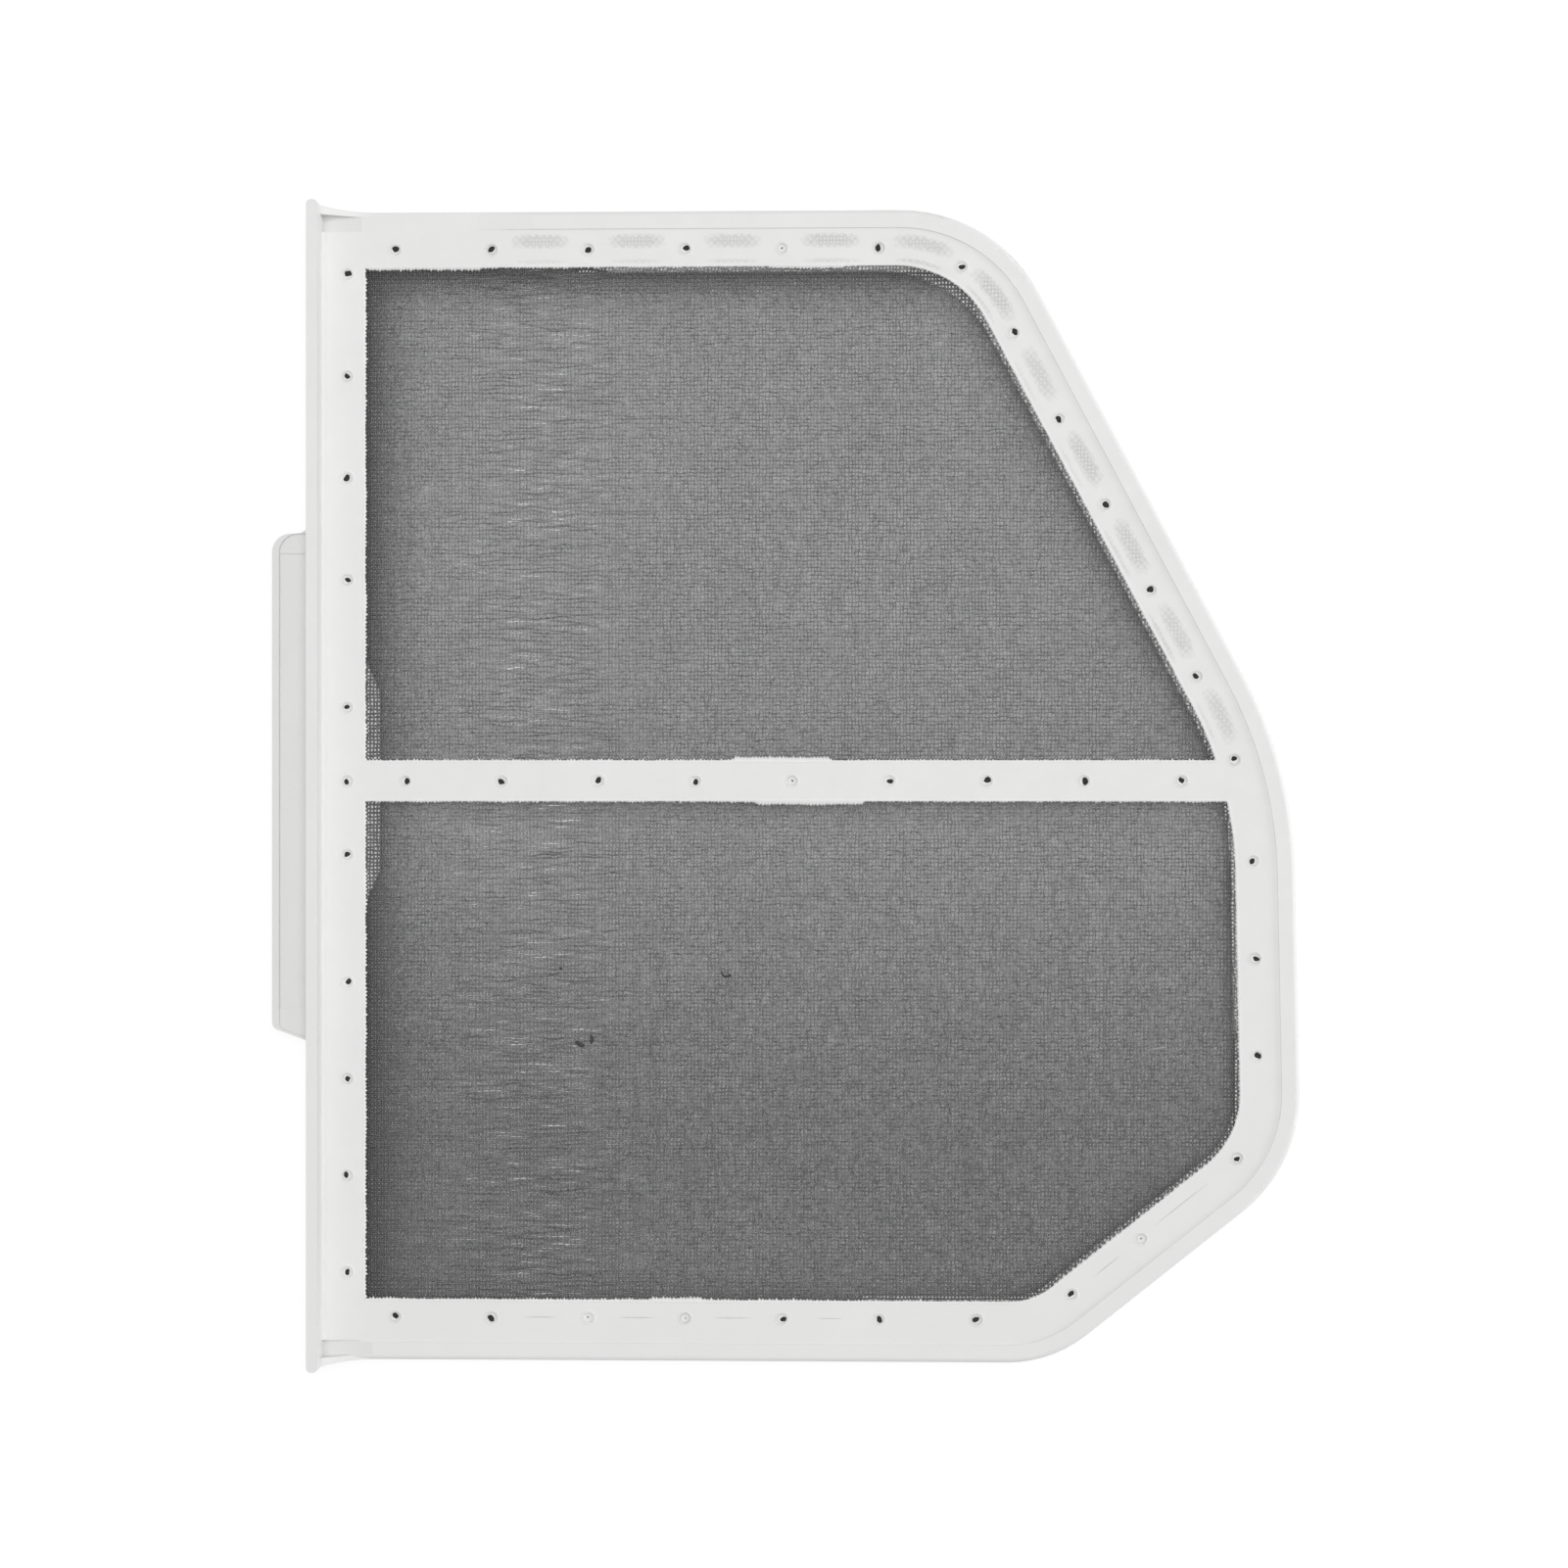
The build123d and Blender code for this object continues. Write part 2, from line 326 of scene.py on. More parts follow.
framePlastic = plasticMaterial("framePlastic", **moulding)
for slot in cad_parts["frame"].material_slots:
    slot.material = framePlastic
print("frame finished in moulded plastic")

# woven screen: two sets of threads that pass over and under each other
weave = {
    "pitchX": 0.87,  # between the threads that run along y
    "pitchY": 0.97,  # between the threads that run along x
    "width": 0.350,
    "height": 0.24,
    "weftGain": 1.006,  # threads along x against those along y
    "wave": 0.13,
    "tuck": 1.4,  # under the moulding's skin
    "wander": 0.50,  # drift of every thread along its way
    "drift": {"Scale": 330.0, "Detail": 3.0},
    "stray": 0.03,  # each thread off its place
    "jitter": 0.21,  # each crossing off its place
    "uneven": 0.30,  # each crossing thicker or thinner
    "shades": (0.93, 1.07),  # each thread paler or darker
    "mottle": (0.32, 0.46),  # each crossing paler or darker, along y and along x
    "loose": 0.97,  # share of the crossings' unevenness in the upper window
    "looseLow": 0.06,  # and more of it lower down
    "looseTo": -60.0,
    "looseBand": 0.5,  # share lost in the ripples
    "calm": 0.75,  # share lost where the screen is dimmest
    "calmDim": (0.35, 0.85),
    "ripple": 1.70,
    "rippleX": -62.0,
    "rippleReach": 22.0,
    "rippleLeast": 0.25,  # a little of it everywhere
    "rippleGirth": 0.015,
    "creases": (130.0, 620.0, 1.0),  # per metre along x and y
    "streak": 2.5,  # painted highlight and painted shade: paler and darker stretches in the ripples
    "streakDark": 0.3,
    "streakGirth": 0.5,
    "streakLength": 6.0,
    "streakStep": (0.37, 1.63, 3.3),  # from thread to thread, and where the pattern starts
    "tone": (0.284, 0.284, 0.286),
    "splits": {"upper": -17, "lower": -2},  # thread where the left and right panels meet
    "seed": 4,
}
threadLook = {
    "cloud": {"Scale": 30.0, "Detail": 3.0, "Roughness": 0.55},
    "cloudTone": (0.24, 0.88),  # swing and base
    "fine": {"Scale": 2600.0, "Detail": 2.0, "Roughness": 0.6},
    "fineTone": (0.30, 0.85),
    "fineGloss": (0.3, 0.3),
    "specular": 0.4,
}
# painted shade: threads are fuller and darker along the rails and beside the crossbar, where the floor under
# the cloth lies in shade; they are also darker towards the low end and the cap side, where the screen is
# dimmest
dimness = {
    "girth": 0.46,  # wider at full dimness
    "tone": 0.75,  # darker at full dimness
    "edges": {  # painted shade along each rail: share, reach and how abruptly it ends, in the order of the rails
        "bottom": (0.45, 4.2, 1.5),
        "diagonal": (0.45, 4.5, 1.5),
        "side": (0.85, 3.0, 1.5),
        "slant": (0.62, 4.6, 1.5),
        "top": (0.88, 6.4, 2.2),
        "stile": (0.96, 7.6, 1.5),
    },
    "low": 0.39,
    "lowFrom": -5.0,
    "lowTo": -88.0,
    "capSide": 0.14,
    "capFrom": -20.0,
    "capTo": -100.0,
    "sill": 0.14,  # painted shade above the crossbar
    "sillReach": 20.0,
    "under": 0.40,  # painted shadow just below the crossbar
    "underReach": 2.0,
    "ledge": 1.1,  # threads in front of the rear ledge stay bright, with a painted shadow line along its edge
    "ledgeLine": 0.42,
    "ledgeLineReach": 1.3,
    "ledgeFrom": -45.0,
    "webWidth": 3.5,  # those in front of the web at the crossbar are evenly dim
    "webLength": 62.0,
    "webTaper": 8.0,
    "web": 0.58,
}
threadInputs = {  # inputs of the thread tree and the sizes they take
    "Width": "width",
    "Height": "height",
    "Wave": "wave",
    "Wander": "wander",
    "Jitter": "jitter",
    "Ripple": "ripple",
    "Ripple X": "rippleX",
    "Ripple Reach": "rippleReach",
}
weaveMiddle = (plate["screenTop"] + plate["screenRear"]) / 2


def threadMaterial():
    material, tree, skin = newMaterial("screenThread")
    spot = addNode(tree, "ShaderNodeTexCoord", (-900, -300)).outputs["Object"]
    # the shade attribute carries each thread's random tone together with the painted shade and painted
    # highlight from crossing
    shade = addNode(tree, "ShaderNodeAttribute", (-900, 100), attribute_name="shade").outputs["Fac"]
    cloud = noiseNode(tree, (-650, -100), spot, **threadLook["cloud"])["Fac"]
    fine = noiseNode(tree, (-650, -350), spot, **threadLook["fine"])["Fac"]
    soft = mathNode(tree, "MULTIPLY_ADD", (-400, -100), cloud, *threadLook["cloudTone"])
    rough = mathNode(tree, "MULTIPLY_ADD", (-400, -350), fine, *threadLook["fineTone"])
    shaded = mathNode(tree, "MULTIPLY", (-300, -250), rough, shade)
    gain = mathNode(tree, "MULTIPLY", (-200, -100), soft, shaded)
    feed(tree, skin.inputs["Base Color"], vectorNode(tree, "SCALE", (0, 100), weave["tone"], gain))
    gloss = mathNode(tree, "MULTIPLY_ADD", (0, -200), fine, *threadLook["fineGloss"])
    tree.links.new(gloss, skin.inputs["Roughness"])
    skin.inputs["Specular IOR Level"].default_value = threadLook["specular"]
    return material


def namedField(tree, label, place):
    node = addNode(tree, "GeometryNodeInputNamedAttribute", place, data_type="FLOAT", Name=label)
    return node.outputs[0]


# threads: each line of the plan becomes a wavy thread with one bend at every crossing
def threadTree():
    inputs = {"Geometry": "Geometry", **{label: "Float" for label in threadInputs}, "Material": "Material"}
    tree, entry, leave = groupTree("wovenThreads", "GeometryNodeTree", inputs, {"Geometry": "Geometry"})
    given = entry.outputs
    lines = addNode(tree, "GeometryNodeMeshToCurve", (-900, 200), Mesh=given["Geometry"])
    labels = ("lift", "weft", "girth", "loose")
    lift, weft, girth, loose = (namedField(tree, label, (-900, -150)) for label in labels)
    spot = addNode(tree, "GeometryNodeInputPosition", (-900, -500)).outputs[0]
    drift = noiseNode(tree, (-650, -500), spot, **weave["drift"])["Fac"]
    drifted = mathNode(tree, "SUBTRACT", (-450, -500), drift, 0.5)
    slow = mathNode(tree, "MULTIPLY", (-300, -500), drifted, given["Wander"])
    dice = addNode(tree, "FunctionNodeRandomValue", (-650, -1150), data_type="FLOAT", Seed=weave["seed"])
    dice.inputs[2].default_value = -1.0
    thrown = mathNode(tree, "MULTIPLY", (-450, -1150), dice.outputs[1], given["Jitter"])
    sway = mathNode(tree, "MULTIPLY_ADD", (-100, -500), loose, thrown, slow)
    squeeze = vectorNode(tree, "MULTIPLY", (-750, -750), spot, weave["creases"])
    crease = noiseNode(tree, (-550, -750), squeeze, Scale=1.0, Detail=1.0)["Fac"]
    axes = addNode(tree, "ShaderNodeSeparateXYZ", (-750, -950), Vector=spot)
    gap = mathNode(tree, "SUBTRACT", (-550, -950), axes.outputs[0], given["Ripple X"])
    away = mathNode(tree, "DIVIDE", (-350, -950), gap, given["Ripple Reach"])
    square = mathNode(tree, "MULTIPLY", (-250, -900), away, away)
    band = mathNode(tree, "EXPONENT", (0, -950), mathNode(tree, "MULTIPLY", (-200, -950), square, -1.0))
    least = weave["rippleLeast"]
    share = mathNode(tree, "MULTIPLY_ADD", (100, -950), band, 1.0 - least, least)
    folded = mathNode(tree, "SUBTRACT", (-350, -750), crease, 0.5)
    buckle = mathNode(tree, "MULTIPLY", (-150, -750), folded, given["Ripple"])
    side = mathNode(tree, "MULTIPLY_ADD", (150, -600), buckle, share, sway)
    upright = mathNode(tree, "SUBTRACT", (150, -350), 1.0, weft)
    ways = {
        "X": mathNode(tree, "MULTIPLY", (300, -350), sway, upright),
        "Y": mathNode(tree, "MULTIPLY", (300, -550), side, weft),
        "Z": mathNode(tree, "MULTIPLY", (-300, -200), lift, given["Wave"]),
    }
    move = addNode(tree, "ShaderNodeCombineXYZ", (450, -350), **ways)
    placed = addNode(tree, "GeometryNodeSetPosition", (500, 200), Geometry=lines, Offset=move)
    level = addNode(tree, "GeometryNodeSetCurveNormal", (650, 200), mode="Z_UP", Curve=placed)
    ring = addNode(tree, "GeometryNodeCurvePrimitiveCircle", (300, 0), mode="RADIUS", Resolution=3, Radius=1)
    high = mathNode(tree, "DIVIDE", (300, -150), given["Height"], 1.5)  # that triangle's height and side
    wide = mathNode(tree, "DIVIDE", (300, -200), given["Width"], math.sqrt(3))
    size = addNode(tree, "ShaderNodeCombineXYZ", (450, -100), X=high, Y=wide, Z=1.0)
    turn = (0.0, 0.0, -math.pi / 2)  # one edge of the section points up
    shaped = addNode(tree, "GeometryNodeTransform", (600, 0), Geometry=ring, Rotation=turn, Scale=size)
    tube = addNode(tree, "GeometryNodeCurveToMesh", (850, 200), Curve=level, Fill_Caps=True, Scale=girth)
    feed(tree, tube.inputs["Profile Curve"], shaped)
    smooth = addNode(tree, "GeometryNodeSetShadeSmooth", (1000, 200), Geometry=tube)
    real = addNode(tree, "GeometryNodeRealizeInstances", (1150, 200), Geometry=smooth)
    dress = addNode(tree, "GeometryNodeSetMaterial", (1300, 200), Geometry=real, Material=given["Material"])
    feed(tree, leave.inputs[0], dress)
    return tree


railCorners = insetCorners(plate["rails"])
railLines = [(a, (b - a).normalized()) for a, b in zip(railCorners, railCorners[1:] + railCorners[:1])]


def dimAt(x, y):  # share of painted shade and darkening: 0 in the open middle of the screen, near 1 beside the stile
    low = ramp(y, dimness["lowFrom"], dimness["lowTo"])
    light = 1.0 - dimness["low"] * low
    light *= 1.0 - dimness["capSide"] * low * ramp(x, dimness["capFrom"], dimness["capTo"])
    # painted shade above and below the crossbar
    if y > plate["barHigh"]:
        light *= 1.0 - dimness["sill"] * math.exp((plate["barHigh"] - y) / dimness["sillReach"])
    elif y < plate["barLow"]:
        light *= 1.0 - dimness["under"] * math.exp((y - plate["barLow"]) / dimness["underReach"])
    # painted shade along each rail, with a painted shadow line beside the rear ledge
    for (corner, along), (rail, (share, depth, end)) in zip(railLines, dimness["edges"].items()):
        inside = max(0.0, along.x * (y - corner.y) - along.y * (x - corner.x))
        if rail == "stile":
            reach = dimness["webLength"] / 2 - abs(y - barMiddle)
            if inside < dimness["webWidth"] * min(1.0, reach / dimness["webTaper"]):
                light *= 1.0 - dimness["web"]
                continue
        elif rail != "bottom" and x > dimness["ledgeFrom"]:
            if inside < dimness["ledge"]:
                continue
            line = math.exp((dimness["ledge"] - inside) / dimness["ledgeLineReach"])
            light *= 1.0 - dimness["ledgeLine"] * line
        light *= 1.0 - share * math.exp(-((inside / depth) ** end))
    return 1.0 - light


def crossing(x, y, i, axis, shade, chance):  # how a thread looks at one crossing
    dim = dimAt(x, y)
    band = math.exp(-(((x - weave["rippleX"]) / weave["rippleReach"]) ** 2))
    loose = weave["loose"] + weave["looseLow"] * ramp(y, 0.0, weave["looseTo"])
    loose *= 1.0 - weave["looseBand"] * band
    loose *= 1.0 - weave["calm"] * ramp(dim, *weave["calmDim"])
    girth = 1.0 + dimness["girth"] * dim
    girth *= 1.0 + loose * weave["uneven"] * chance.uniform(-1.0, 1.0)
    girth *= weave["weftGain"] + weave["rippleGirth"] * band if axis else 1.0 - weave["rippleGirth"] * band
    # painted shade: the thread tone darkens with dimAt along the rails and crossbar, and darkens towards the
    # low end
    toneAndPaintedLight = shade * (1.0 - dimness["tone"] * dim)
    toneAndPaintedLight *= 1.0 + loose * weave["mottle"][axis] * chance.uniform(-1.0, 1.0)
    # painted highlight on the ripples' crests and painted shade in their troughs, as paler and darker
    # stretches of the threads along x
    slide, step, start = weave["streakStep"]
    crest = noise.noise(Vector((x / weave["streakLength"] + i * slide, i * step, start))) * axis * band
    toneAndPaintedLight *= 1.0 + weave["streak"] * (crest if crest > 0.0 else weave["streakDark"] * crest)
    girth *= 1.0 + weave["streakGirth"] * max(0.0, crest)
    return {"shade": toneAndPaintedLight, "girth": girth, "loose": loose}


def threadPlan(name, loop, cut, leftPanel):  # one line per thread with a point on every crossing
    chance = random.Random(weave["seed"])
    points, edges = [], []
    fields = {"lift": [], "weft": [], "shade": [], "girth": [], "loose": []}
    pitches = (weave["pitchX"], weave["pitchY"])
    for axis in (0, 1):
        across, along = pitches[axis], pitches[1 - axis]
        low = min(p[axis] for p in loop)
        high = max(p[axis] for p in loop)
        for i in range(math.ceil(low / across), math.floor(high / across) + 1):
            shade = chance.uniform(*weave["shades"])
            place = i * across + chance.uniform(-weave["stray"], weave["stray"])
            span = spanAt(loop, axis, i * across)
            if span is None or (axis == 0 and (i <= cut) != leftPanel):
                continue
            first = math.floor((span[0] - weave["tuck"]) / along + 0.5)
            last = math.ceil((span[1] + weave["tuck"]) / along - 0.5)
            if axis == 1:
                first, last = (first, min(last, cut)) if leftPanel else (max(first, cut), last)
            if last <= first:
                continue
            for j in range(first, last + 1):
                x, y = (place, j * along) if axis == 0 else (j * along, place)
                if j > first:
                    edges.append((len(points) - 1, len(points)))
                points.append((x, y, weaveMiddle))
                values = crossing(x, y, i, axis, shade, chance)
                values["lift"] = 1.0 if (i + j) % 2 == axis else -1.0
                values["weft"] = float(axis)
                for label, value in values.items():
                    fields[label].append(value)
    mesh = newMesh(name, points, edges)
    for label, values in fields.items():
        setField(mesh, label, values)
    return mesh


threads = threadTree()
threadValues = {label: weave[key] * mm for label, key in threadInputs.items()}
threadValues["Material"] = threadMaterial()
for window, upper in (("upper", True), ("lower", False)):
    loop = windowLoop(upper)
    cut = weave["splits"][window]
    for hand, left in (("left", True), ("right", False)):
        name = f"screen_{window}_{hand}"
        piece = runTree(newPiece(name, threadPlan(name, loop, cut, left)), threads, threadValues)
        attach(piece, "root")
        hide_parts("screen_mesh")
        print(name, "triangles", sum(len(p.vertices) - 2 for p in piece.data.polygons))
print("screen woven")

# flash: a rounded lip along each window edge, with teeth where the plastic ran into the weave
flash = {
    "step": 0.24,
    "root": 0.9,  # how far the lip reaches back over the face
    "crown": 0.045,
    "crownSwing": (0.8, 0.5, 0.5),  # base, swing and turns per mm
    "reach": 0.06,
    "least": 0.03,
    "tooth": 0.58,
    "toothEdge": (0.25, 0.75),  # where a tooth begins and where it is full
    "toothSwing": (0.55, 0.7),  # base and ragged part
    "wander": 0.30,
    "wanderMix": (0.6, 0.4),  # slow and fine part
    "slow": 0.11,  # turns per mm
    "fine": 1.3,
    "bulges": [  # start x, end x, edge height, extra reach
        (-13.5, 12.6, 6.45, 0.75),
        (-7.8, 21.0, -3.85, 0.80),
        (-34.7, -19.8, -130.5, 0.45),
        (-3.9, 16.0, 131.8, 0.40),
        (-106.0, -76.4, 131.8, 0.45),
        (18.5, 34.0, 131.8, -0.55),
    ],
    "bulgeEase": 1.5,
    "shifts": {"upper": 1.7, "lower": 8.3},  # where each lip's pattern starts
    "plastic": {"tone": (0.79, 0.79, 0.785), "cloud": 0.14, "gloss": 0.40, "grain": 0.8},
}
flashPlastic = plasticMaterial("flashPlastic", **flash["plastic"])


def evenPoints(loop, step):  # points at even steps round a closed loop, with the way into the window
    lengths = [(loop[(i + 1) % len(loop)] - p).length for i, p in enumerate(loop)]
    total = sum(lengths)
    count = int(total / step)
    found, i, passed = [], 0, 0.0
    for k in range(count):
        s = total * k / count
        while s > passed + lengths[i]:
            passed += lengths[i]
            i += 1
        along = (loop[(i + 1) % len(loop)] - loop[i]).normalized()
        found.append((loop[i] + along * (s - passed), Vector((-along.y, along.x)), s))
    return found


def mixed(shares, first, second):
    return shares[0] * first + shares[1] * second


def lipReach(p, n, s, shift):
    fine = noise.noise(Vector((s * flash["fine"], shift, 0.0)))
    slow = noise.noise(Vector((s * flash["slow"], shift, 5.0)))
    level = abs(n.y) > 0.8
    turns = p.x / weave["pitchX"] if level else p.y / weave["pitchY"]
    tooth = ramp(abs(turns % 1.0 - 0.5) * 2.0, *flash["toothEdge"])
    reach = flash["reach"] + flash["tooth"] * tooth * mixed(flash["toothSwing"], 1.0, fine)
    reach += flash["wander"] * mixed(flash["wanderMix"], slow, fine)
    for x0, x1, y, extra in flash["bulges"]:
        if abs(p.y - y) < 0.5 and x0 < p.x < x1:
            reach += extra * min(1.0, (p.x - x0) / flash["bulgeEase"], (x1 - p.x) / flash["bulgeEase"])
    return max(flash["least"], reach)


def edgeLip(name, loop, shift):
    face, top = plate["face"], plate["screenTop"]
    base, swing, turns = flash["crownSwing"]
    rings = []
    for p, n, s in evenPoints(loop, flash["step"]):
        r = lipReach(p, n, s, shift)
        lift = flash["crown"] * (base + swing * noise.noise(Vector((s * turns, shift, 9.0))))
        section = [  # distance into the window and height
            (-flash["root"], face - 0.05),
            (-0.40, face + lift * 0.8),
            (-0.05, face + lift),
            (r * 0.55, face - 0.16),
            (r, top + 0.20),
            (r * 0.8, top + 0.02),
            (-flash["root"], top + 0.06),
        ]
        rings.append([(p.x + n.x * d, p.y + n.y * d, z) for d, z in section])
    return seat(newPiece(name, finishMesh(tubeMesh(name, [rings], True), flashPlastic)))


edgeLip("flash_upper", windowLoop(True), flash["shifts"]["upper"])
edgeLip("flash_lower", windowLoop(False), flash["shifts"]["lower"])
print("flash lips run along both windows")

# mould pin marks: a faint ring, a light filling and a dark hole that sits off its middle; the hole's
# near-black tone is painted shade
pins = {
    "line": 4.5,
    "pitch": 24.6,
    "clear": 5.0,
    "railStart": 18.8,
    "slantStart": 24.6,
    "sideStart": 20.7,
    "diagonalStart": 37.8,
    "diagonalPitch": 22.5,
    "barStart": 21.4,
    "stileStart": 51.2,
    "stileHighPitch": 25.9,
    "stileLowPitch": 24.6,
    "shoulderShift": 1.2,  # holes in the round corners, from the arc's middle towards the hip
    "sideShift": -5.8,
    "hipShift": 5.2,
    "bracePitch": 18.7,
    "closed": [  # nearly filled with plastic
        (-49.47, -135.0),
        (-24.87, -135.0),
        (-0.27, 136.3),
        (2.33, 1.3),
        (90.58, -114.4),
    ],
    "closedReach": 1.0,
    "off": (0.35, 0.30),  # furthest a hole is from its pin's middle
    "closedOff": 0.5,
    "ringSize": (0.95, 1.05),
    "openSize": (0.85, 1.12),
    "closedSize": (0.22, 0.34),
    "sunk": 0.12,
    "rings": {  # the profile is (radius, height) pairs
        "profile": [(1.42, -0.10), (1.46, 0.03), (1.60, 0.06), (1.76, 0.04), (1.90, -0.04)],
        "sides": 28,
        "rough": 0.18,
        "roughScale": 700.0,
    },
    "halos": {
        "profile": [(1.08, -0.05), (1.12, 0.01), (1.26, 0.02), (1.42, 0.02), (1.48, -0.05)],
        "sides": 28,
        "rough": 0.30,
        "roughScale": 700.0,
    },
    "plugs": {
        "profile": [(0, -0.16), (0.7, -0.17), (1.1, -0.13), (1.24, -0.05), (1.24, -0.4), (0, -0.4)],
        "sides": 24,
        "rough": 0.10,
        "roughScale": 900.0,
    },
    "pits": {
        "profile": [(0, 0.0), (0.40, 0.02), (0.75, 0.03), (0.90, 0.0), (0.95, -0.1), (0, -0.12)],
        "sides": 18,
        "rough": 0.75,
        "roughScale": 900.0,
        "squash": 0.72,
    },
    # painted shade: a near-black tone stands for the deep pin hole
    "pitDark": {"tone": (0.018, 0.018, 0.018), "cloud": 0.5, "gloss": 0.7, "bumpDepth": 0.00005},
    "haloTone": {"tone": (0.69, 0.69, 0.685), "cloud": 0.6, "gloss": 0.5},
    "seed": 11,
}


def spaced(start, end, first, pitch):
    along = (end - start).normalized()
    count = int(((end - start).length - pins["clear"] - first) / pitch) + 1
    return [start + along * (first + k * pitch) for k in range(count)]


def arcPlace(insets, index, shift):  # on a round corner's arc, a little past its middle
    corners = insetCorners(insets)
    arriving, leaving = cornerWays(corners, index)
    radius = insetRadius(insets, index)
    inward = (leaving - arriving).normalized()
    centre = corners[index] + inward * radius / math.cos(arriving.angle(leaving) / 2)
    angle = math.atan2(-inward.y, -inward.x) - shift / radius
    return centre + Vector((math.cos(angle), math.sin(angle))) * radius


def pinPlaces():
    insets = [rail - pins["line"] for rail in plate["rails"]]
    low, toe, hip, side, shoulder, high = insetCorners(insets)
    capFace = plate["corners"][0][0]
    middle = Vector((low.x, barMiddle))
    farRow = spaced(Vector((capFace, high.y)), shoulder, pins["railStart"], pins["pitch"])
    farRow.append(arcPlace(insets, 4, pins["shoulderShift"]))
    farRow += spaced(shoulder, side, pins["slantStart"], pins["pitch"])
    farRow.append(arcPlace(insets, 3, pins["sideShift"]))
    rest = [middle, arcPlace(insets, 2, pins["hipShift"])]
    rest += spaced(side, hip, pins["sideStart"], pins["pitch"])
    rest += spaced(hip, toe, pins["diagonalStart"], pins["diagonalPitch"])
    rest += spaced(Vector((capFace, low.y)), toe, pins["railStart"], pins["pitch"])
    rest += spaced(Vector((capFace, middle.y)), Vector((side.x, middle.y)), pins["barStart"], pins["pitch"])
    for end, pitch in ((low, pins["stileLowPitch"]), (high, pins["stileHighPitch"])):
        rest.append(middle + (end - middle).normalized() * pins["bracePitch"])
        rest += spaced(middle, end, pins["stileStart"], pitch)
    return farRow, rest


# marks: one small shape on every point, turned and sized by the point and roughened in place
def marksTree():
    inputs = {"Geometry": "Geometry", "Shape": "Object", "Roughen": "Float", "Roughen Scale": "Float"}
    inputs["Material"] = "Material"
    tree, entry, leave = groupTree("mouldMarks", "GeometryNodeTree", inputs, {"Geometry": "Geometry"})
    given = entry.outputs
    shape = addNode(tree, "GeometryNodeObjectInfo", (-600, -150), transform_space="ORIGINAL")
    feed(tree, shape.inputs[0], given["Shape"])
    spin = addNode(tree, "ShaderNodeCombineXYZ", (-600, -350), Z=namedField(tree, "turn", (-800, -350)))
    layout = {
        "Points": given["Geometry"],
        "Instance": shape.outputs["Geometry"],
        "Rotation": spin,
        "Scale": namedField(tree, "size", (-600, -500)),
    }
    copies = addNode(tree, "GeometryNodeInstanceOnPoints", (-350, 100), **layout)
    real = addNode(tree, "GeometryNodeRealizeInstances", (-100, 100), Geometry=copies)
    spot = addNode(tree, "GeometryNodeInputPosition", (-350, -500))
    rough = noiseNode(tree, (-150, -500), spot, Detail=2.0, Scale=given["Roughen Scale"])["Color"]
    centred = vectorNode(tree, "SUBTRACT", (50, -400), rough, (0.5, 0.5, 0.5))
    level = vectorNode(tree, "MULTIPLY", (200, -400), centred, (1.0, 1.0, 0.12))  # mostly sideways
    offset = vectorNode(tree, "SCALE", (350, -300), level, given["Roughen"])
    moved = addNode(tree, "GeometryNodeSetPosition", (350, 100), Geometry=real, Offset=offset)
    smooth = addNode(tree, "GeometryNodeSetShadeSmooth", (500, 100), Geometry=moved)
    dress = addNode(tree, "GeometryNodeSetMaterial", (700, 100), Geometry=smooth, Material=given["Material"])
    feed(tree, leave.inputs[0], dress)
    return tree


def lathe(name, profile, sides, squash):  # a closed round shape from (radius, height) pairs
    points, rows, faces = [], [], []
    for radius, height in profile:
        if radius == 0:
            rows.append([len(points)] * sides)
            points.append((0.0, 0.0, height))
            continue
        rows.append([len(points) + k for k in range(sides)])
        for k in range(sides):
            a = 2 * math.pi * k / sides
            points.append((radius * math.cos(a), radius * math.sin(a) * squash, height))
    if profile[0][0] != 0:
        rows.append(rows[0])
    for low, high in zip(rows, rows[1:]):
        for k in range(sides):
            n = (k + 1) % sides
            corners = [low[k], low[n], high[n], high[k]]
            faces.append(tuple(dict.fromkeys(corners)))
    return finishMesh(newMesh(name, points, faces=faces), framePlastic)


marks = marksTree()


def markPiece(name, places, material, profile, sides, rough, roughScale, squash=1.0):
    mesh = newMesh(name, [place[:3] for place in places])
    setField(mesh, "turn", [place[3] for place in places])
    setField(mesh, "size", [place[4] for place in places])
    holder = newPiece(name + "Shape", lathe(name + "Shape", profile, sides, squash))
    values = {"Shape": holder, "Roughen": rough * mm, "Roughen Scale": roughScale, "Material": material}
    piece = runTree(newPiece(name, mesh), marks, values)
    bpy.data.objects.remove(holder)
    return seat(piece)


farPins, otherPins = pinPlaces()
chance = random.Random(pins["seed"])
rings, plugs, holes = [], [], []
for place in farPins + otherPins:
    shut = any((place - Vector(c)).length < pins["closedReach"] for c in pins["closed"])
    turn = chance.uniform(*anyTurn)
    off = Vector([chance.uniform(-reach, reach) for reach in pins["off"]])
    rings.append((place.x, place.y, plate["face"], turn, chance.uniform(*pins["ringSize"])))
    plugs.append((place.x, place.y, plate["face"], turn, 1.0))
    spot = place + off * (pins["closedOff"] if shut else 1.0)
    size = chance.uniform(*pins["closedSize" if shut else "openSize"])
    holes.append((spot.x, spot.y, plate["face"] - pins["sunk"], turn, size))
markPiece("pin_rings", rings, flashPlastic, **pins["rings"])
markPiece("pin_halos", rings, plasticMaterial("haloTone", **pins["haloTone"]), **pins["halos"])
markPiece("pin_plugs", plugs, framePlastic, **pins["plugs"])
# the pits' near-black plastic is painted shade for the holes
markPiece("pin_pits", holes, plasticMaterial("pitDark", **pins["pitDark"]), **pins["pits"])
print("mould pin marks:", len(rings))

